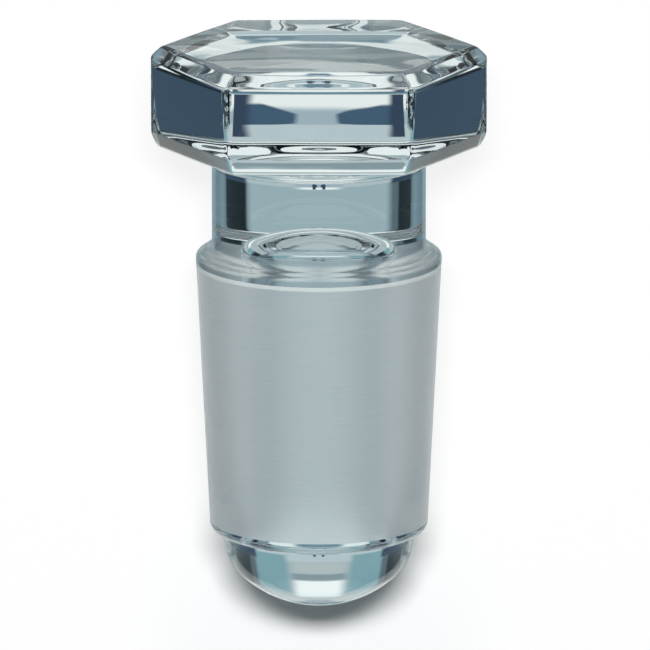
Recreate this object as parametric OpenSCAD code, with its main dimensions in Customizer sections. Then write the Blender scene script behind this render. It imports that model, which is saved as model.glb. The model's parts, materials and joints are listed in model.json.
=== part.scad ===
// Glass stopper with a hexagonal head and a 29/32 ground cone, one piece of glass with a sealed hollow.
// It is turned about its own axis, then laid down the way it comes to rest: on the lower edge of its
// front flat and on the small end of the cone. Head towards +X, origin under the middle of its box.

/* [Ground cone] */
// Diameter of the cone at its large end
cone_large_d = 29.2; // [24:0.1:34]
// Length of the cone
cone_length = 32; // [25:0.5:42]
// Length over which the diameter shrinks by one unit
cone_taper = 10; // [8:0.5:20]

/* [Shoulder and neck] */
// Distance by which the neck is set in from the large end of the cone
shoulder_width = 1.9; // [1.55:0.05:4]
// Rise of the shoulder from the rim to the neck
shoulder_rise = 0.4; // [0:0.05:0.8]
// Radius of the edge between the cone and the shoulder
rim_round = 0.6; // [0.2:0.05:0.9]
// Radius of the fillet between the shoulder and the neck
shoulder_fillet = 0.9; // [0.3:0.1:1.2]
// Height of the neck, from the large end of the cone to the head
neck_height = 13; // [10:0.1:20]
// Radius of the fillet between the neck and the head
head_fillet = 2.0; // [0.5:0.1:3]

/* [Head] */
// Height of the head
head_height = 12.8; // [9:0.1:18]
// Distance across two opposite side flats, at their upper edge
head_flats = 36.5; // [33.5:0.1:43]
// Amount by which the front and the back flat lie nearer to the axis than the four side flats
front_set_in = 0.95; // [0:0.05:1.4]
// Amount by which each flat leans inwards at its lower edge
head_draft = 0.6; // [0:0.05:1]
// Depth by which the round blank falls short of the hexagon's sharp corners
corner_cut = 1.2; // [0.2:0.05:2]
// Width of the bevel around the top face
top_bevel_width = 2.0; // [0.5:0.1:4]
// Height of the bevel around the top face
top_bevel_height = 2.1; // [0.5:0.1:4]
// Width of the bevel around the underside
low_bevel_width = 1.0; // [0.3:0.1:2]
// Height of the bevel around the underside
low_bevel_height = 2.3; // [0.5:0.1:4]

/* [Tip] */
// Distance by which the side of the tip is set in from the small end of the cone
tip_step = 1.75; // [0.8:0.05:2.2]
// Radius of the fillet between that step and the side of the tip
tip_fillet = 0.25; // [0.1:0.05:0.6]
// Distance from the rounded tip to the small end of the cone
tip_collar = 2.3; // [1.8:0.1:5]
// Depth of the rounded tip
tip_depth = 8.1; // [6.5:0.1:11]
// Radius where the side of the tip turns into its end
tip_knuckle = 6.1; // [2:0.1:7.5]

/* [Hollow] */
// Diameter of the sealed hollow
hollow_d = 12.4; // [6:0.1:16]
// Thickness of the glass below the hollow, at the tip
hollow_floor = 7.2; // [3:0.1:12]
// Height to which the hollow reaches above the large end of the cone
hollow_reach = 4.3; // [-5:0.1:8]
// Depth of the domed top of the hollow
hollow_dome = 3.7; // [2:0.1:6]
// Depth of the rounded bottom of the hollow
hollow_base = 2.2; // [1:0.1:6]

/* [Hidden] */

round_faces = 180;
arc_steps = 12;
hexagon_sides = 6;
sector = 360 / hexagon_sides;
// Share of a hollow end's depth that its rounded knuckle takes
knuckle_share = 0.7;
// Distance by which solids reach into each other, and cutters past what they cut
overlap = 1;

// Heights along the axis, from the end of the tip
cone_low = tip_depth + tip_collar;
cone_high = cone_low + cone_length;
head_low = cone_high + neck_height;
head_high = head_low + head_height;
flat_low = head_low + low_bevel_height;
flat_high = head_high - top_bevel_height;

// Radii
cone_large_r = cone_large_d / 2;
cone_small_r = cone_large_r - cone_length / cone_taper / 2;
neck_r = cone_large_r - shoulder_width;
tip_r = cone_small_r - tip_step;
flat_high_r = head_flats / 2;
flat_low_r = flat_high_r - head_draft;
low_face_r = flat_low_r - low_bevel_width;
top_face_r = flat_high_r - top_bevel_width;
corner_r = flat_high_r / cos(sector / 2) - corner_cut;
hollow_r = hollow_d / 2;
cutter_reach = 2 * corner_r;
// The fillet under the head ends inside the underside of the head
neck_fillet = max(min(head_fillet, low_face_r - front_set_in - neck_r), 0.5);

// Radius of the shallow cap that closes an end of radius r and the given depth, with its rounded knuckle
function crown(r, depth, knuckle) =
    ((r - knuckle) ^ 2 + depth ^ 2 - knuckle ^ 2) / (2 * (depth - knuckle));

// Points [radius, height] on a circle about centre, from one angle to another
function arc(centre, radius, from, to) =
    [for (i = [0 : arc_steps])
        let (a = from + (to - from) * i / arc_steps) centre + radius * [cos(a), sin(a)]];

// Outline of a rounded end that opens upwards: from its pole at height 0 out to radius r at height depth
function dished_end(r, depth, knuckle) =
    let (
        cap = crown(r, depth, knuckle),
        meet = atan2(depth - cap, r - knuckle)
    )
    concat(arc([0, cap], cap, -90, meet), arc([r - knuckle, depth], knuckle, meet, 0));

// Point that lies beyond b on the line from a to b
function past(a, b) = b + overlap * (b - a) / norm(b - a);

function raised(points, height) = [for (p = points) [p[0], height + p[1]]];

// Points turned upside down under the given height, in the opposite order
function hung(points, height) =
    [for (i = [len(points) - 1 : -1 : 0]) [points[i][0], height - points[i][1]]];

// The tip, cone, shoulder and neck as one turned outline, which ends inside the head
foot_round = tip_step - tip_fillet;
foot_centre = [cone_small_r - foot_round, cone_low];
rim_centre = [cone_large_r - rim_round, cone_high];
neck_low = cone_high + rim_round + shoulder_rise + shoulder_fillet;
body_outline = concat(
    dished_end(tip_r, tip_depth, tip_knuckle),
    arc([tip_r + tip_fillet, cone_low - tip_step], tip_fillet, 180, 90),
    arc(foot_centre, foot_round, -90, 0),
    arc(rim_centre, rim_round, 0, 90),
    arc([neck_r + shoulder_fillet, neck_low], shoulder_fillet, 270, 180),
    arc([neck_r + neck_fillet, head_low - neck_fillet], neck_fillet, 180, 90),
    [[neck_r + neck_fillet, head_low + overlap], [0, head_low + overlap]]
);

hollow_outline = concat(
    raised(dished_end(hollow_r, hollow_base, knuckle_share * hollow_base), hollow_floor),
    hung(dished_end(hollow_r, hollow_dome, knuckle_share * hollow_dome), cone_high + hollow_reach)
);

// Angle between the axis and a line that touches the foot and an edge, given by its centre and radius
function lean(edge, edge_round = 0) =
    let (reach = edge - foot_centre)
    atan2(reach[0], reach[1]) - asin((foot_round - edge_round) / norm(reach));

// Pose at rest. It lies on the rounded edge of the cone's small end, turned until whatever the ground
// meets first touches it too: an edge of the front flat, or the rim of the cone where the head is small.
rest_tilt = max(
    lean([flat_low_r - front_set_in, flat_low]),
    lean([flat_high_r - front_set_in, flat_high]),
    lean(rim_centre, rim_round)
);
rest_height = foot_round + foot_centre[0] * cos(rest_tilt) - cone_low * sin(rest_tilt);
head_end_x = head_high * cos(rest_tilt) + (top_face_r - front_set_in) * sin(rest_tilt);
tip_end_x = -crown(tip_r, tip_depth, tip_knuckle) * (1 - cos(rest_tilt));

module body() {
    rotate_extrude($fn = round_faces)
        polygon(body_outline);
}

module hollow() {
    rotate_extrude($fn = round_faces)
        polygon(hollow_outline);
}

// All that lies outside one side of the head: its low bevel, its flat and its top bevel
module side_cut(set_in) {
    rotate([90, 0, 0])
        linear_extrude(2 * cutter_reach, center = true)
            translate([-set_in, 0])
                polygon([
                    past([flat_low_r, flat_low], [low_face_r, head_low]),
                    [flat_low_r, flat_low],
                    [flat_high_r, flat_high],
                    past([flat_high_r, flat_high], [top_face_r, head_high]),
                    [cutter_reach, head_high + overlap],
                    [cutter_reach, head_low - overlap]
                ]);
}

// A round blank with six leaning flats, bevelled above and below; what the flats leave of the blank
// stays as a narrow rounded strip at each corner
module head() {
    difference() {
        translate([0, 0, head_low])
            cylinder(r = corner_r, h = head_height, $fn = round_faces);
        for (side = [0 : hexagon_sides - 1])
            rotate([0, 0, side * sector])
                side_cut(side % (hexagon_sides / 2) == 0 ? front_set_in : 0);
    }
}

module upright_stopper() {
    difference() {
        union() {
            body();
            head();
        }
        hollow();
    }
}

module stopper() {
    color([0.72, 0.82, 0.85, 0.6])
        translate([-(head_end_x + tip_end_x) / 2, 0, rest_height])
            rotate([0, 90 - rest_tilt, 0])
                upright_stopper();
}

stopper();
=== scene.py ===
# %% [markdown]
# # A glass stopper for a ground joint
#
# The stopper is one piece of clear glass: a hexagonal head to hold it by, a smooth neck, a ground cone
# that seals a conical socket, and a rounded tip. A sealed hollow runs up the middle of the cone, so that
# the thick glass doesn't crack as it heats and cools. It can't stand on its round tip, so it lies here
# the way it comes to rest, on one flat of the head and on the small end of the cone.
#
# Glass is judged by its silhouette and by what shines through it. So this lesson makes one closed
# surface with true walls, gives it its finishes, polished and ground, and then spends its effort on
# the surroundings that the glass bends and shows.

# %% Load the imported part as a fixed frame
import json
import math

import bpy
import numpy as np
from mathutils import Matrix, Vector


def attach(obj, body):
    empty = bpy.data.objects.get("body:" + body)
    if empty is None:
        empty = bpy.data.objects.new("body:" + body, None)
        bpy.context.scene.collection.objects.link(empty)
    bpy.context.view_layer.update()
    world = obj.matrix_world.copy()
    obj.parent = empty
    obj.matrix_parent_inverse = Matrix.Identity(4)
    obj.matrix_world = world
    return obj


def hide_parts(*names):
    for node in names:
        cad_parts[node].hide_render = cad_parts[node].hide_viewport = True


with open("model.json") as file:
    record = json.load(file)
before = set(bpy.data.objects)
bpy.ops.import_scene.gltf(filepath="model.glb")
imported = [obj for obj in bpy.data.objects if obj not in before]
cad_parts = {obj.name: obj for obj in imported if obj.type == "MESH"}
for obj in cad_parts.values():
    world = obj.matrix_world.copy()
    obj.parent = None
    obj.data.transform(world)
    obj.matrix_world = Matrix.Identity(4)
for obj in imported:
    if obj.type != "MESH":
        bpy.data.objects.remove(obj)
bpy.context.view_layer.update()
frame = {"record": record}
MM = 0.001

# %% [markdown]
# ## Where the stopper lies
#
# All shapes below are worked out on an upright stopper, in millimetres: z runs from the end of the tip
# to the top of the head, and the axis is at x = y = 0. That is the simple way to think about a turned
# piece. Two interfaces of the part say how this upright shape was laid down: the middle of the cone's
# large end, and the direction in which the head's flat top faces.

# %% Upright millimetres to the lying part
mounts = {mount["name"]: mount for mount in frame["record"]["mounts"]}
cone_mouth = np.array(mounts["ground_cone"]["pos_m"])
along = np.array(mounts["head_top"]["axis"])
sideways = np.array([0.0, 1.0, 0.0])
downwards = np.cross(sideways, along)

cone_length = 32.0
cone_large_r = 14.6
cone_small_r = cone_large_r - cone_length / 10 / 2
tip_depth = 8.1
cone_low = tip_depth + 2.3
cone_high = cone_low + cone_length


def laid_down(x, y, z):
    """Turns upright points into places on the lying part, in metres.

    Each point starts at the middle of the cone's large end, goes along the axis by how far it is above
    that end, then down by x and sideways by y.
    """
    steps = ((z - cone_high)[..., None] * along, x[..., None] * downwards, y[..., None] * sideways)
    return cone_mouth + MM * (steps[0] + steps[1] + steps[2])


tilt = math.degrees(math.asin(along[2]))
print(f"the axis rises by {tilt:.2f} degrees, and the cone's mouth is {cone_mouth[2] / MM:.1f} mm up")

# %% [markdown]
# ## The outline
#
# A turned shape is an outline that goes once round an axis. The outline of this one starts at the end
# of the tip and climbs: a shallow dome, its rounded knuckle, a small step with a rounded foot, the long
# cone, the rim, the shoulder with its fillet, the neck, and a larger fillet under the head. Arcs and
# straight lines are enough for all of it. One function draws an arc, and another one puts extra points
# on long straight runs, because the glass gets slight waves later and waves need points to move.


# %% Arcs and even spacing
def arc(centre, radius, start, end, steps=10):
    """Points on a circle about centre, from one angle in degrees to another."""
    angle = np.radians(np.linspace(start, end, steps + 1))
    return np.stack([centre[0] + radius * np.cos(angle), centre[1] + radius * np.sin(angle)], axis=1)


def dome(radius, depth, knuckle, steps=14):
    """Outline of a rounded end that opens upwards, from its pole at height 0.

    A shallow circle about the axis meets a small circle, the knuckle, where both have one tangent.
    """
    cap = ((radius - knuckle) ** 2 + depth**2 - knuckle**2) / (2 * (depth - knuckle))
    meet = math.degrees(math.atan2(depth - cap, radius - knuckle))
    crown = arc((0, cap), cap, -90, meet, steps)
    return np.concatenate([crown, arc((radius - knuckle, depth), knuckle, meet, 0, steps)[1:]])


def evenly(points, longest):
    """The same line with points added, so that no step is longer than the given length."""
    points = np.asarray(points, float)
    lengths = np.hypot(*np.diff(points, axis=0).T)
    counts = np.maximum(np.ceil(lengths / longest), 1).astype(int)
    distance = np.concatenate([[0], np.cumsum(lengths)])
    runs = [distance[i] + lengths[i] * np.arange(counts[i]) / counts[i] for i in range(len(counts))]
    wanted = np.concatenate(runs + [distance[-1:]])
    return np.stack([np.interp(wanted, distance, column) for column in points.T], axis=1)


# %% The turned part of the outline, from the tip to the fillet under the head
tip_step = 1.75
tip_r = cone_small_r - tip_step
tip_fillet = 0.25
tip_knuckle = 6.1
foot_round = cone_small_r - tip_r - tip_fillet
rim_round = 0.6
shoulder_width = 1.9
neck_r = cone_large_r - shoulder_width
shoulder_fillet = 0.9
shoulder_rise = 0.4
shoulder_high = cone_high + rim_round + shoulder_rise
head_above_cone = 13.0
head_low = cone_high + head_above_cone
neck_high = head_low - 2.4
ring_step = 0.5

foot_low = cone_low - foot_round - tip_fillet
tip_outline = np.concatenate([
    dome(tip_r, tip_depth, tip_knuckle),
    arc((tip_r + tip_fillet, foot_low), tip_fillet, 180, 90, 4),
    arc((cone_small_r - foot_round, cone_low), foot_round, -90, 0),
])
neck_outline = np.concatenate([
    arc((cone_large_r - rim_round, cone_high), rim_round, 0, 90),
    arc((neck_r + shoulder_fillet, shoulder_high + shoulder_fillet), shoulder_fillet, 270, 180),
    [[neck_r, neck_high]],
])
turned = evenly(np.concatenate([tip_outline, neck_outline]), ring_step)
print(f"the turned part has {len(turned)} rings, up to {head_low:.1f} mm")

# %% [markdown]
# ## The head
#
# The head was a round blank first. Six flats were then pressed onto it, leaning in a little towards the
# neck so that it left its mould, with a bevel above and below. The flats don't quite reach each other,
# so a narrow strip of the round blank is left at each corner, wider at the top than at the bottom. The
# front and back flats lie a little nearer to the axis than the other four, and every flat is very
# slightly swollen. That matters more than it sounds: a truly flat side would show one direction of the
# surroundings all over, and so one flat colour, but a swollen one shows a range of them.
#
# The head could be cut with booleans, but those leave knife-sharp edges, and a sharp glass edge has
# nothing to catch the light with. Instead each ring of the head is a hexagon by formula: its radius in
# any direction is the nearest of the six sides, and never more than the blank's. The nearest is taken
# softly, which rounds the corners, and the outline's own corners are rounded with arcs.


# %% The head's outline, through the middle of a flat
def rounded(points, radii, steps=8):
    """A line of straight runs whose inner corners are replaced by arcs, one radius for each corner.

    An arc starts and ends where the runs are radius times the tangent of half the turn away from the
    corner, and its centre lies on the line that halves the corner.
    """
    pieces = [points[:1]]
    for before, corner, after, radius in zip(points[:-2], points[1:-1], points[2:], radii):
        back = (before - corner) / np.linalg.norm(before - corner)
        ahead = (after - corner) / np.linalg.norm(after - corner)
        half = math.acos(np.clip(np.dot(back, ahead), -1, 1)) / 2
        middle = (back + ahead) / np.linalg.norm(back + ahead)
        centre = corner + middle * radius / math.sin(half)
        share = np.linspace(0, 1, steps + 1)[:, None]
        start = corner + back * radius / math.tan(half) - centre
        end = corner + ahead * radius / math.tan(half) - centre
        turn = math.pi - 2 * half
        swing = (np.sin((1 - share) * turn) * start + np.sin(share * turn) * end) / math.sin(turn)
        pieces.append(centre + swing)
    return np.concatenate(pieces + [points[-1:]])


head_height = 12.8
head_high = head_low + head_height
flat_low_r = 17.65
flat_high_r = 18.25
low_bevel_width, low_bevel_height = 0.9, 2.3
top_bevel_width, top_bevel_height = 2.0, 2.1
low_face_r = flat_low_r - low_bevel_width
top_face_r = flat_high_r - top_bevel_width
front_set_in = 0.95
corner_cut = 1.2
blank_r = flat_high_r / math.cos(math.radians(30)) - corner_cut
flat_low = head_low + low_bevel_height
flat_high = head_high - top_bevel_height

head_corners = np.array([
    [neck_r, neck_high],
    [neck_r, head_low - 0.85],
    [low_face_r, head_low + 0.35],
    [flat_low_r, flat_low],
    [flat_high_r, flat_high],
    [top_face_r, head_high],
    [0.0, head_high],
])
# Where the neck meets the underside, under the rim, below the flat, above the flat, round the top
corner_rounds = (1.5, 1.2, 0.4, 1.2, 0.5)
head_ring_step = 0.4
head_outline = evenly(rounded(head_corners, corner_rounds), head_ring_step)[1:]
flat_share = np.clip((head_outline[:, 1] - flat_low) / (flat_high - flat_low), 0, 1)
swell_up = 0.2
# The swelling fades in between 11.9 and 15.4 mm from the axis, so that the neck keeps its shape
near_flat = np.clip(head_outline[:, 0] / 3.5 - 3.4, 0, 1)
head_outline[:, 0] += swell_up * (flat_share - 2 * flat_share**2) * near_flat
print(f"the head's outline has {len(head_outline)} rings, {head_high - head_low:.1f} mm tall")

# %% Directions around the axis, closer together at the corners of the hexagon
per_side = 52
from_middle = np.linspace(-1, 1, per_side, endpoint=False) + 1 / per_side
# Cubing pushes the directions away from the middle of each flat and towards its two corners
around = np.radians(30) * (1.35 * from_middle - 0.35 * from_middle**3)
directions = (np.radians(60) * np.arange(6)[:, None] + around).ravel()
print(f"{len(directions)} directions, {np.degrees(np.diff(around).min()):.2f} degrees apart at the corners")


# %% Rings of the head
swell_across = 0.2
set_in = front_set_in * np.array([1, 0, 0, 1, 0, 0])


def side_rings(outline, direction, softness=0.12):
    """Radius of the six sides for every ring of the outline and every direction.

    The reach to a side is its distance over the cosine of the angle to its middle. A side is slightly
    swollen: it falls back by swell_across at 10 mm from its middle, as the square of that distance. The
    front and back sides lie nearer by set_in. The soft least of the six reaches is minus softness times
    the logarithm of the sum of exp(-reach / softness).
    """
    turned_away = np.cos(direction[None, None, :] - np.radians(60) * np.arange(6)[:, None, None])
    facing = np.maximum(turned_away, 0.6)
    share = np.clip(outline[:, 0] / top_face_r, 0, 1)
    distance = (outline[:, 0] - set_in[:, None] * share)[:, :, None]
    reach = distance / facing - swell_across * (distance / 10) ** 2 * (1 / facing**2 - 1)
    reach = np.where(turned_away > 0.6, reach, 1000)
    return -softness * np.logaddexp.reduce(-reach / softness, axis=0)


def head_rings(outline, direction, softness=0.1):
    """Radius of the head: its six sides, limited softly to the round blank's radius."""
    return -softness * np.logaddexp(-side_rings(outline, direction) / softness, -blank_r / softness)


head_radius = head_rings(head_outline, directions)
# Under the head, the rings change from the round fillet to the hexagon
under = head_outline[:, 1:] < head_low + 1
roundness = np.where(under, np.clip((low_face_r - 0.4 - head_outline[:, :1]) / 2.2, 0, 1), 0)
roundness = roundness * roundness * (3 - 2 * roundness)
head_radius = head_radius * (1 - roundness) + head_outline[:, :1] * roundness
print(f"the head is {2 * head_radius.max():.2f} mm across its corners")

# %% [markdown]
# ## One closed surface
#
# The rings of the body and of the head make one grid of points: rings up the stopper, directions
# around it. The first and the last ring have no width, so each becomes a single pole. The hollow inside
# is a second, smaller grid. Its faces look into the hollow, away from the glass, because a glass
# surface has to face whatever isn't glass.
#
# Glass that was softened in a flame or pressed in a mould is never quite even, and clear glass shows it
# at once, because a small change of slope moves what shines through. So the surface gets waves between
# a hundredth and a tenth of a millimetre deep, deepest on the head's top. They are in the mesh and not
# in a bump, so that the surface itself is uneven. The ground cone has none, since grinding takes them
# off, and the tip is left smooth too.


# %% Slight waves of fire-polished glass
def waves(x, y, z, size, seed):
    """A smooth height that wanders over space: a sum of sines along fixed random directions."""
    random = np.random.default_rng(seed)
    total = np.zeros_like(x)
    for _ in range(9):
        heading = random.normal(size=3)
        heading *= 2 * math.pi / size / np.linalg.norm(heading)
        total += np.sin(heading[0] * x + heading[1] * y + heading[2] * z + random.uniform(0, 6.28))
    return total / 3


def between(low, high, value):
    """0 below low, 1 above high, and a smooth step between them."""
    share = np.clip((value - low) / (high - low), 0, 1)
    return share * share * (3 - 2 * share)


radius = np.concatenate([np.repeat(turned[:, :1], len(directions), axis=1), head_radius])
height = np.repeat(np.concatenate([turned, head_outline])[:, 1:], len(directions), axis=1)
x = radius * np.cos(directions)
y = radius * np.sin(directions)
# Waves start above the ground cone and stay off the axis, where all directions meet
wavy = between(cone_high + 1, cone_high + 4, height) * between(2.0, 5.0, radius)
# The neck's waves are twice as deep as the head's
depth = 0.007 - 0.0035 * between(head_low + 0.5, head_low + 2, height)
radius_wave = depth * wavy * (np.clip(waves(x, y, height, 7.0, 3), -1.5, 1.5) - 1.5)
x = x + radius_wave * np.cos(directions)
y = y + radius_wave * np.sin(directions)
top = between(head_high - 0.5, head_high, height) * between(1.0, 6.0, radius)
from_axis = np.concatenate([turned, head_outline])[:, :1]
# The top falls off towards its edge, and its waves are drawn out sideways
top_fall = 0.2
top_wave = 0.035
height = height - top_fall * top * np.clip((from_axis - 7) / 9, 0, 1) ** 2
height = height - top_wave * top * (1.5 + np.clip(waves(x, 0.3 * y, height, 6.0, 5), -1.5, 1.5))
print(f"outer surface: {radius.shape[0]} rings of {radius.shape[1]} points")


# %% The hollow
hollow_r = 6.2
hollow_floor = 7.2
hollow_top = cone_high + 4.3
base_depth = 2.2
dome_depth = 3.7
knuckle_share = 0.7
hollow_ring_step = 0.7
hollow_count = 96

lower_end = dome(hollow_r, base_depth, knuckle_share * base_depth, 12) + [0, hollow_floor]
upper_end = dome(hollow_r, dome_depth, knuckle_share * dome_depth, 16) * [1, -1] + [0, hollow_top]
hollow_outline = evenly(np.concatenate([lower_end, upper_end[::-1]]), hollow_ring_step)
hollow_directions = np.radians(np.linspace(0, 360, hollow_count, endpoint=False))
hollow_x = hollow_outline[:, :1] * np.cos(hollow_directions)
hollow_y = hollow_outline[:, :1] * np.sin(hollow_directions)
hollow_z = np.repeat(hollow_outline[:, 1:], hollow_count, axis=1)
print(f"hollow: {2 * hollow_r:.1f} mm wide, {hollow_top - hollow_floor:.1f} mm long")


# %% From grids to faces
def shell(x, y, z, first, inwards=False):
    """Points and faces of a closed grid of rings, whose end rings are single poles.

    Faces join each ring to the next, going round once, and triangles join the poles to their rings.
    Their numbers start at first. Inwards turns every face over.
    """
    rings, count = x.shape
    points = laid_down(x, y, z)
    vertices = np.concatenate([points[0, :1], points[1:-1].reshape(-1, 3), points[-1, :1]])
    step = np.arange(count)
    following = np.roll(step, -1)
    ring_start = first + 1 + count * np.arange(rings - 3)[:, None]
    low = ring_start + step
    right = ring_start + following
    walls = np.stack([low, right, right + count, low + count], axis=-1).reshape(-1, 4)
    last = first + 1 + count * (rings - 3)
    pole_low = np.stack([np.full(count, first), first + 1 + following, first + 1 + step], axis=1)
    pole_high = np.stack([last + step, last + following, np.full(count, last + count)], axis=1)
    faces = [walls, pole_low, pole_high]
    if inwards:
        faces = [part[:, ::-1] for part in faces]
    return vertices, faces


outer_points, outer_faces = shell(x, y, height, 0)
hollow_points, hollow_faces = shell(hollow_x, hollow_y, hollow_z, len(outer_points), inwards=True)
glass_mesh = bpy.data.meshes.new("stopper_glass")
all_faces = [face for part in outer_faces + hollow_faces for face in part.tolist()]
glass_mesh.from_pydata(np.concatenate([outer_points, hollow_points]).tolist(), [], all_faces)
glass_mesh.polygons.foreach_set("use_smooth", np.ones(len(all_faces), bool))
stopper = bpy.data.objects.new("stopper_glass", glass_mesh)
bpy.context.scene.collection.objects.link(stopper)
print(f"{len(all_faces)} faces")

# %% [markdown]
# ## Where each finish goes
#
# The mesh itself says which finish it has. Each face has a slot: 0 is clear, 1 is ground, and 2 is the
# narrow milky border at the top of the ground surface, where the abrasive only just reached. The strips
# of the blank between the flats are marked on the points, as a number that fades over their edges, so
# that a material can find them without knowing the head's shape.

# %% Which faces are ground, and which points lie on the strips of the blank
ground_low = cone_low
clear_rim = 0.7
ground_high = cone_high - clear_rim
border_slot = 2
ring_height = np.concatenate([turned, head_outline])[:, 1]
wall_height = np.repeat((ring_height[1:-2] + ring_height[2:-1]) / 2, len(directions))
is_ground = (wall_height > ground_low) & (wall_height < ground_high)
finish = np.zeros(len(all_faces), np.int32)
is_border = (wall_height > ground_high - 0.35) & (wall_height < ground_high + 0.1)
finish[: len(is_ground)] = np.where(is_border, border_slot, is_ground)
glass_mesh.polygons.foreach_set("material_index", finish)

on_head = len(turned)
strip = np.zeros_like(radius)
strip[on_head:] = between(-0.05, 0.1, side_rings(head_outline, directions) - blank_r)
no_strip = np.zeros(len(hollow_points))
strip_values = np.concatenate([strip[0, :1], strip[1:-1].ravel(), strip[-1, :1], no_strip])
attribute = glass_mesh.attributes.new("blank_strip", "FLOAT", "POINT")
attribute.data.foreach_set("value", strip_values.astype(np.float32))
ground_count = int((finish > 0).sum())
strip_count = int((strip_values > 0.5).sum())
print(f"{ground_count} faces are ground, {strip_count} points lie on the strips")

# %% [markdown]
# ## Polished and ground glass
#
# All finishes are one glass, faintly blue, that bends light as borosilicate does. Only the surface
# differs. The polished one is smooth. The ground one was rubbed with a fine abrasive while it
# turned, so it scatters light: a strong roughness blurs what passes through, a fifth of it is plain
# milky white, and a little sheen lifts its edges. The border above it is milkier still.
#
# Two more effects sit on top. The strips of the blank are crackled, perhaps because the mould chilled
# them: small cells dent them and dark cracks cross them. A dark line of painted shade follows both of
# their edges, standing for the dark that clear glass shows where a strip meets a flat. The ground cone
# carries very fine lines around its axis, left by the abrasive. Each is made by one function that adds
# its nodes to one material, because no other material uses it.


# %% A shader for glass
borosilicate_bend = 1.474
clear_tint = (0.93, 0.985, 1.0)


def glass(name, color, roughness):
    """A Principled BSDF that lets all light through, bends it and tints it."""
    material = bpy.data.materials.new(name)
    material.use_nodes = True
    shader = material.node_tree.nodes["Principled BSDF"]
    shader.inputs["Base Color"].default_value = (*color, 1)
    shader.inputs["Roughness"].default_value = roughness
    shader.inputs["IOR"].default_value = borosilicate_bend
    shader.inputs["Transmission Weight"].default_value = 1.0
    return material, shader


clear_glass, clear_shader = glass("clear_glass", clear_tint, 0.0)
ground_glass, ground_shader = glass("ground_glass", (0.88, 0.94, 0.96), 0.55)
ground_shader.inputs["Transmission Weight"].default_value = 0.8
ground_shader.inputs["Sheen Weight"].default_value = 0.3
ground_shader.inputs["Sheen Roughness"].default_value = 0.4
rim_glass, rim_shader = glass("ground_rim", (0.93, 0.97, 0.96), 0.6)
rim_shader.inputs["Transmission Weight"].default_value = 0.5
glass_mesh.materials.append(clear_glass)
glass_mesh.materials.append(ground_glass)
glass_mesh.materials.append(rim_glass)
print("finishes:", [material.name for material in glass_mesh.materials])


# %% Crackle on the strips of the blank
def crackle(material, shader, clear_color):
    """Small dents, dark cracks and painted shade along both edges, held to the strips by the mesh's own mask.
    """
    nodes, links = material.node_tree.nodes, material.node_tree.links
    place = nodes.new("ShaderNodeTexCoord")
    mask = nodes.new("ShaderNodeAttribute")
    mask.attribute_name = "blank_strip"
    cells = nodes.new("ShaderNodeTexVoronoi")
    cells.inputs["Scale"].default_value = 1500
    links.new(place.outputs["Object"], cells.inputs["Vector"])
    held = nodes.new("ShaderNodeMath")
    held.operation = "MULTIPLY"
    links.new(cells.outputs["Distance"], held.inputs[0])
    links.new(mask.outputs["Fac"], held.inputs[1])
    bump = nodes.new("ShaderNodeBump")
    bump.inputs["Strength"].default_value = 0.8
    bump.inputs["Distance"].default_value = 0.0004
    links.new(held.outputs["Value"], bump.inputs["Height"])
    links.new(bump.outputs["Normal"], shader.inputs["Normal"])
    grain = nodes.new("ShaderNodeTexNoise")
    grain.inputs["Scale"].default_value = 1300
    grain.inputs["Detail"].default_value = 3
    links.new(place.outputs["Object"], grain.inputs["Vector"])
    cracks = nodes.new("ShaderNodeMapRange")
    cracks.inputs["From Min"].default_value = 0.43
    cracks.inputs["From Max"].default_value = 0.54
    links.new(grain.outputs["Fac"], cracks.inputs["Value"])
    shade = nodes.new("ShaderNodeMath")
    shade.operation = "MULTIPLY"
    links.new(cracks.outputs["Result"], shade.inputs[0])
    links.new(mask.outputs["Fac"], shade.inputs[1])
    # 1 where the mask is a half, 0 where it is 0 or 1: the two edges of a strip, painted dark as shade
    painted_edge_shade = nodes.new("ShaderNodeMath")
    painted_edge_shade.operation = "PINGPONG"
    painted_edge_shade.inputs[1].default_value = 0.5
    links.new(mask.outputs["Fac"], painted_edge_shade.inputs[0])
    # Painted shade: a strip's two edges count nearly twice over and are added to the cracks
    crack_and_edge_shade = nodes.new("ShaderNodeMath")
    crack_and_edge_shade.operation = "MULTIPLY_ADD"
    crack_and_edge_shade.use_clamp = True
    crack_and_edge_shade.inputs[1].default_value = 1.9
    links.new(painted_edge_shade.outputs["Value"], crack_and_edge_shade.inputs[0])
    links.new(shade.outputs["Value"], crack_and_edge_shade.inputs[2])
    color = nodes.new("ShaderNodeMix")
    color.data_type = "RGBA"
    color.inputs[6].default_value = (*clear_color, 1)
    # Near black: the colour of the cracks, and the painted shade along the strips' edges
    color.inputs[7].default_value = (0.01, 0.014, 0.018, 1)
    links.new(crack_and_edge_shade.outputs["Value"], color.inputs["Factor"])
    links.new(color.outputs[2], shader.inputs["Base Color"])


crackle(clear_glass, clear_shader, clear_tint)
print("the clear glass has", len(clear_glass.node_tree.nodes), "nodes")


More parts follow.
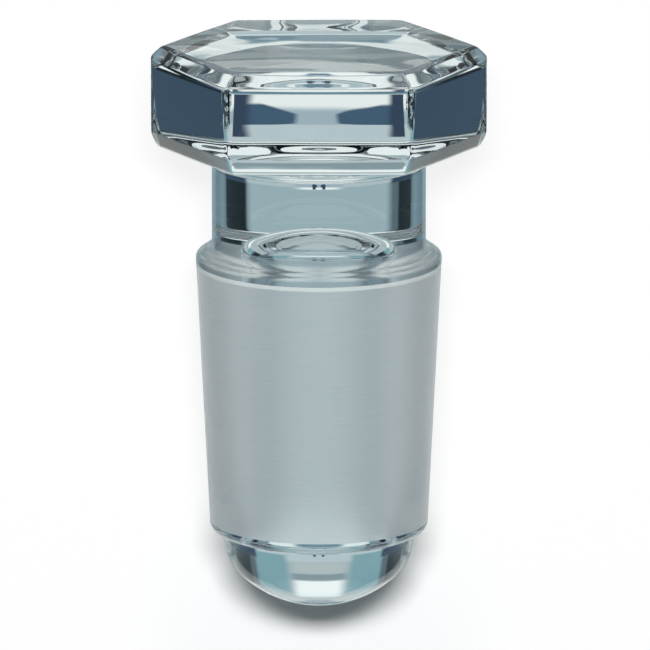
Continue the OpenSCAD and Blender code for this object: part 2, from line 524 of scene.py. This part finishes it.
# %% Grinding lines round the cone
def grinding(material, shader, dark, light):
    """Fine lines round the axis: a noise that is squeezed along the axis, as colour and as bump."""
    nodes, links = material.node_tree.nodes, material.node_tree.links
    place = nodes.new("ShaderNodeTexCoord")
    turned_level = nodes.new("ShaderNodeMapping")
    turned_level.vector_type = "TEXTURE"
    turned_level.inputs["Location"].default_value = cone_mouth
    turned_level.inputs["Rotation"].default_value = (0, -math.radians(tilt), 0)
    turned_level.inputs["Scale"].default_value = (0.03, 1, 1)
    links.new(place.outputs["Object"], turned_level.inputs["Vector"])
    lines = nodes.new("ShaderNodeTexNoise")
    lines.inputs["Scale"].default_value = 220
    lines.inputs["Detail"].default_value = 3
    links.new(turned_level.outputs["Vector"], lines.inputs["Vector"])
    tone = nodes.new("ShaderNodeMix")
    tone.data_type = "RGBA"
    tone.inputs[6].default_value = (*dark, 1)
    tone.inputs[7].default_value = (*light, 1)
    links.new(lines.outputs["Fac"], tone.inputs["Factor"])
    links.new(tone.outputs[2], shader.inputs["Base Color"])
    bump = nodes.new("ShaderNodeBump")
    bump.inputs["Strength"].default_value = 0.5
    bump.inputs["Distance"].default_value = 0.00002
    links.new(lines.outputs["Fac"], bump.inputs["Height"])
    links.new(bump.outputs["Normal"], shader.inputs["Normal"])


grinding(ground_glass, ground_shader, (0.74, 0.82, 0.84), (1.0, 1.0, 1.0))
print("the ground glass has", len(ground_glass.node_tree.nodes), "nodes")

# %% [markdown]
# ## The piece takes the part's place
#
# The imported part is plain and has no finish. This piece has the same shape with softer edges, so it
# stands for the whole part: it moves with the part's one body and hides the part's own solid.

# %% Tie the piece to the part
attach(stopper, "root")
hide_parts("stopper")
print("stopper_glass rides on root")

# %% [markdown]
# ## Table, surroundings and lamps
#
# Clear glass has no look of its own: it shows what is around it, bent and squeezed. In a studio, white,
# grey and black cards are set around a glass until its sides and edges draw themselves. Here the
# surroundings do that by direction around the stopper, one card after another.
#
# The table has two jobs that don't go together: it should be plain white, and it should keep a soft
# shadow that shows where the stopper lies. So it is a white painted sheet near the tip, where the
# shadow falls, and further away its shading gives way to an even white glow. Rays that come
# through the glass or off it don't stop at the table. They go on to the cards below, so that the cards'
# edges keep their place whatever the glass does.

# %% Table
table_mesh = bpy.data.meshes.new("table")
half_table = 3
low, high = -half_table, half_table
table_corners = [(low, low, 0), (high, low, 0), (high, high, 0), (low, high, 0)]
table_mesh.from_pydata(table_corners, [], [(0, 1, 2, 3)])
table = bpy.data.objects.new("table", table_mesh)
bpy.context.scene.collection.objects.link(table)
print("the table is", 2 * half_table, "m wide")

# %% The table's paint, and which rays pass through it
white_table = bpy.data.materials.new("white_table")
white_table.use_nodes = True
nodes, links = white_table.node_tree.nodes, white_table.node_tree.links
paint = nodes["Principled BSDF"]
paint.inputs["Base Color"].default_value = (0.97, 0.97, 0.97, 1)
paint.inputs["Roughness"].default_value = 1.0
paint.inputs["Specular IOR Level"].default_value = 0.0
see_through = nodes.new("ShaderNodeBsdfTransparent")
rays = nodes.new("ShaderNodeLightPath")
mix = nodes.new("ShaderNodeMixShader")
through = nodes.new("ShaderNodeMath")
through.operation = "MAXIMUM"
links.new(rays.outputs["Is Transmission Ray"], through.inputs[0])
links.new(rays.outputs["Is Glossy Ray"], through.inputs[1])
links.new(through.outputs["Value"], mix.inputs["Fac"])
print("the table lets rays through that the glass has bent or reflected")

# %% A glow that leaves the shadow near the tip
tip_on_table = (-0.043, 0.0, 0.0)
glow = nodes.new("ShaderNodeEmission")
table_place = nodes.new("ShaderNodeTexCoord")
from_tip = nodes.new("ShaderNodeVectorMath")
from_tip.operation = "DISTANCE"
from_tip.inputs[1].default_value = tip_on_table
links.new(table_place.outputs["Object"], from_tip.inputs[0])


def glow_share(near, far, share):
    """Nothing nearer to the tip than near, share beyond far, and a smooth rise between them."""
    rise = nodes.new("ShaderNodeMapRange")
    rise.interpolation_type = "SMOOTHSTEP"
    rise.inputs["From Min"].default_value = near
    rise.inputs["From Max"].default_value = far
    rise.inputs["To Max"].default_value = share
    links.new(from_tip.outputs["Value"], rise.inputs["Value"])
    return rise.outputs["Result"]


lit = nodes.new("ShaderNodeMath")
lit.operation = "ADD"
links.new(glow_share(0.013, 0.025, 0.78), lit.inputs[0])
links.new(glow_share(0.03, 0.12, 0.22), lit.inputs[1])
sheet = nodes.new("ShaderNodeMixShader")
links.new(lit.outputs["Value"], sheet.inputs["Fac"])
links.new(paint.outputs["BSDF"], sheet.inputs[1])
links.new(glow.outputs["Emission"], sheet.inputs[2])
links.new(sheet.outputs["Shader"], mix.inputs[1])
links.new(see_through.outputs["BSDF"], mix.inputs[2])
links.new(mix.outputs["Shader"], nodes["Material Output"].inputs["Surface"])
table_mesh.materials.append(white_table)
print("the table's paint has", len(nodes), "nodes")

# %% [markdown]
# ## Directions as two angles
#
# A card's place is easiest to say in angles as the stopper sees them. The first angle goes across: 0 is
# straight down to the table, 90 is out to the side and 180 is straight up, the same on the left and the
# right. The second goes headwards: 0 is square to the axis, 90 is along it past the head, and below 0
# is towards the tip. The world is turned by the axis's tilt first, so both angles belong to the stopper.

# %% Surroundings by direction
world = bpy.data.worlds.new("studio")
bpy.context.scene.world = world
world.use_nodes = True
nodes, links = world.node_tree.nodes, world.node_tree.links
background = nodes["Background"]
place = nodes.new("ShaderNodeTexCoord")
split = nodes.new("ShaderNodeSeparateXYZ")
level = nodes.new("ShaderNodeVectorRotate")
level.rotation_type = "Y_AXIS"
level.inputs["Angle"].default_value = math.radians(tilt)
links.new(place.outputs["Generated"], level.inputs["Vector"])
links.new(level.outputs["Vector"], split.inputs["Vector"])


def world_math(operation, first, second=0.0):
    """A math node of the world's own tree; each input is a number or a socket."""
    node = nodes.new("ShaderNodeMath")
    node.operation = operation
    for socket, value in zip(node.inputs, (first, second)):
        if isinstance(value, (int, float)):
            socket.default_value = value
        else:
            links.new(value, socket)
    return node.outputs["Value"]


in_degrees = 180 / math.pi
downward = world_math("MULTIPLY", split.outputs["Z"], -1.0)
sideways_turn = world_math("ARCTAN2", split.outputs["Y"], downward)
sideways_turn = world_math("MULTIPLY", sideways_turn, in_degrees)
across = world_math("ABSOLUTE", sideways_turn)
headwards = world_math("MULTIPLY", world_math("ARCSINE", split.outputs["X"]), in_degrees)
print(f"the surroundings are turned by {tilt:.2f} degrees")


# %% Bands, mixes and cards
def world_step(value, low, high):
    """0 below low, 1 above high, with a smooth step between them."""
    node = nodes.new("ShaderNodeMapRange")
    node.interpolation_type = "SMOOTHSTEP"
    node.inputs["From Min"].default_value = low
    node.inputs["From Max"].default_value = high
    links.new(value, node.inputs["Value"])
    return node.outputs["Result"]


def band(value, low, high, soft):
    """1 between low and high and 0 outside, with soft edges."""
    below_high = world_step(world_math("MULTIPLY", value, -1.0), -high - soft, -high + soft)
    return world_math("MULTIPLY", world_step(value, low - soft, low + soft), below_high)


def world_mix(share, first, second):
    """A colour between two, in the world's own tree."""
    node = nodes.new("ShaderNodeMix")
    node.data_type = "RGBA"
    links.new(share, node.inputs["Factor"])
    for socket, value in ((node.inputs[6], first), (node.inputs[7], second)):
        if isinstance(value, tuple):
            socket.default_value = (*value, 1)
        else:
            links.new(value, socket)
    return node.outputs[2]


def card(behind, color, angles, heights, soft=(2, 2), turn=across):
    """Lays one card over what is behind it: a range of angles across and a range of angles headwards."""
    share = world_math("MULTIPLY", band(turn, *angles, soft[0]), band(headwards, *heights, soft[1]))
    return world_mix(share, behind, color)


print("the world has", len(nodes), "nodes before the first card")

# %% [markdown]
# ## The cards
#
# Each line below lays one card: its colour, its range across, its range headwards, and how soft its
# edges are. Later cards cover earlier ones. The stopper is seen from above, so what shows straight
# through it lies below it, close to 0 across: a run of strips, white, grey, blue-grey and dark, from
# the tip's end to the head's. Cards out to the sides and above show in the edges and as reflections.

# %% Pale and grey cards
everywhere = (-95, 95)
room = world_mix(world_step(across, 80, 120), (0.09, 0.13, 0.15), (0.14, 0.18, 0.20))
room = card(room, (0.19, 0.29, 0.34), (50, 110), (-22, -5), (5, 2))
room = card(room, (0.88, 0.91, 0.90), (112, 185), (20, 95), (8, 5))
room = card(room, (0.33, 0.44, 0.47), (-5, 30), everywhere, (3, 2))
# The near part of the table, and the floor below it
room = card(room, (0.95, 0.98, 0.95), (-5, 50), (-58, -22), (3, 3))
room = card(room, (0.13, 0.23, 0.29), (-5, 5), (-50, -26), (1.5, 3))
room = card(room, (0.55, 0.64, 0.68), (-5, 185), (-95, -62), (5, 3))
# Straight through the glass: a dark blue strip, the pale backdrop, a white strip and blue-grey above
room = card(room, (0.10, 0.19, 0.25), (-5, 5), (-20, -14.3), (2, 0.4))
room = card(room, (0.86, 0.89, 0.86), (-5, 7), (-12.3, -9.35), (3, 0.28))
room = card(room, (0.45, 0.54, 0.55), (8, 30), (-10, -2), (2, 1))
room = card(room, (0.36, 0.45, 0.50), (-5, 7), (-9.3, -1), (2, 0.3))
room = card(room, (0.50, 0.58, 0.60), (-5, 30), (-1, 7), (3, 1))
room = card(room, (0.46, 0.52, 0.52), (-5, 12), (7, 12.2), (3, 1))
room = card(room, (0.24, 0.31, 0.33), (-5, 12), (12.2, 14.8), (3, 0.4))
room = card(room, (0.92, 0.96, 0.94), (-5, 11), (14.8, 24), (3, 0.4))
room = card(room, (0.21, 0.37, 0.41), (14, 32), (2, 20), (2, 2))
room = card(room, (0.43, 0.49, 0.50), (-5, 60), (24, 48), (3, 3))
room = card(room, (0.48, 0.54, 0.55), (-5, 105), (55, 95), (5, 8))
print("the world has", len(nodes), "nodes with its pale and grey cards")

# %% [markdown]
# ## Two dark wedges
#
# The head's front side shows two dark points that nearly meet. They come from two wedges below it, one
# on each side, that grow from a point towards the side. A wedge is where ten times the angle from its
# point, going across, is more than the larger of two slopes headwards: a gentle one and a steep one.
# They widen into narrow dark cards, and nearly black cards stand further out for the neck and the
# edges. One of these is wider on one side, so that the two edges of the neck aren't quite alike.

# %% Wedges and dark cards
wedge_start = 0.43
wedge_height = 9.05
wedge_half = world_math("MULTIPLY", world_math("SUBTRACT", across, wedge_start), 10.0)
from_point = world_math("ADD", headwards, wedge_height)
gentle = world_math("MULTIPLY", from_point, 0.4)
steep = world_math("MULTIPLY", from_point, -8.0)
wedge_off = world_math("MAXIMUM", gentle, steep)
wedge = world_step(world_math("SUBTRACT", wedge_half, wedge_off), -0.5, 1.0)
wedge = world_math("MULTIPLY", wedge, band(across, -5, 2.2, 0.5))
wedge = world_math("MULTIPLY", wedge, band(headwards, -9.7, -1.3, 0.12))
room = world_mix(wedge, room, (0.05, 0.10, 0.16))
room = card(room, (0.03, 0.05, 0.09), (1.14, 2.2), (-12.2, 2.2), (0.07, 0.15))
room = card(room, (0.0, 0.003, 0.005), (36, 48), (-22, -11.8), (1.2, 0.2))
room = card(room, (0.0, 0.003, 0.005), (-48, -31), (-22, -11.8), (1.2, 0.2), sideways_turn)
room = card(room, (0.025, 0.05, 0.09), (31, 48), (-11.8, 8), (1.5, 0.2))
room = card(room, (0.01, 0.02, 0.025), (37, 54), (8, 24), (1.5, 1))
print("the world has", len(nodes), "nodes")

# %% [markdown]
# ## What each kind of ray sees
#
# The camera itself sees plain white beyond the table. Rays that the glass bends or reflects see the
# cards at full strength. Light that the table or the ground glass scatters gets only part of it, so
# that the lamp and not the cards gives them their shading.

# %% White behind, cards in the glass, dim on the table
scattered_share = 0.4
rays = nodes.new("ShaderNodeLightPath")
links.new(world_mix(rays.outputs["Is Camera Ray"], room, (1.0, 1.0, 1.0)), background.inputs["Color"])
dimmer = nodes.new("ShaderNodeMapRange")
dimmer.inputs["To Min"].default_value = 1.0
dimmer.inputs["To Max"].default_value = scattered_share
links.new(rays.outputs["Is Diffuse Ray"], dimmer.inputs["Value"])
links.new(dimmer.outputs["Result"], background.inputs["Strength"])
print("scattered light gets", scattered_share, "of the world")

# %% [markdown]
# ## One soft lamp
#
# A box with a white cloth front, nearly overhead and a little towards the head. Its size sets how soft
# the shadow is: a point would give it a hard edge, and a box as wide as the table would give none. It
# isn't seen in the glass, because the cards already say what shows there.


# %% Lamp
def softbox(name, place, target, width, depth, power):
    """An area lamp that looks at a target, with its width across the stopper and its depth along it."""
    data = bpy.data.lights.new(name, "AREA")
    data.shape = "RECTANGLE"
    data.size = width
    data.size_y = depth
    data.energy = power
    lamp = bpy.data.objects.new(name, data)
    lamp.location = place
    lamp.rotation_euler = (Vector(target) - Vector(place)).to_track_quat("-Z", "Y").to_euler()
    bpy.context.scene.collection.objects.link(lamp)
    return lamp


overhead = (0.29, 0.0, 0.96)
stopper_middle = (0, 0, 0.015)
key = softbox("key", overhead, stopper_middle, 0.3, 0.12, 9.1)
key.visible_glossy = False
key.visible_transmission = False
print("the lamp is", overhead[2], "m above the table")

# %% [markdown]
# ## Camera
#
# The camera looks down on the lying stopper from a little towards its head, which shows it as if it
# stood upright and was seen from slightly above. It stands far back with a long lens, so that the cone
# narrows because it is a cone and hardly because of perspective. The lens is worked out from the width
# that the picture has to take in at that distance.

# %% Camera
view_up = 13.25
lean = math.radians(view_up - tilt)
distance = 1.4
view_width = 77.26
sensor_width = 36
aim_height = 34.0
aim_aside = -0.73
on_axis = np.array(0.0)
aim = laid_down(on_axis, on_axis, np.array(aim_height)) + [0, aim_aside * MM, 0]
camera_data = bpy.data.cameras.new("camera")
camera_data.sensor_width = sensor_width
camera_data.lens = sensor_width * distance / (view_width * MM)
camera_data.clip_end = 20
camera = bpy.data.objects.new("camera", camera_data)
direction = Vector((math.sin(lean), 0, math.cos(lean)))
right = Vector((0, -1, 0))
turn = Matrix((right, direction.cross(right), direction)).transposed()
camera.matrix_world = Matrix.Translation(Vector(aim) + distance * direction) @ turn.to_4x4()
bpy.context.scene.collection.objects.link(camera)
bpy.context.scene.camera = camera
bpy.context.scene.view_settings.view_transform = "Standard"
print(f"the lens is {camera_data.lens:.0f} mm long")
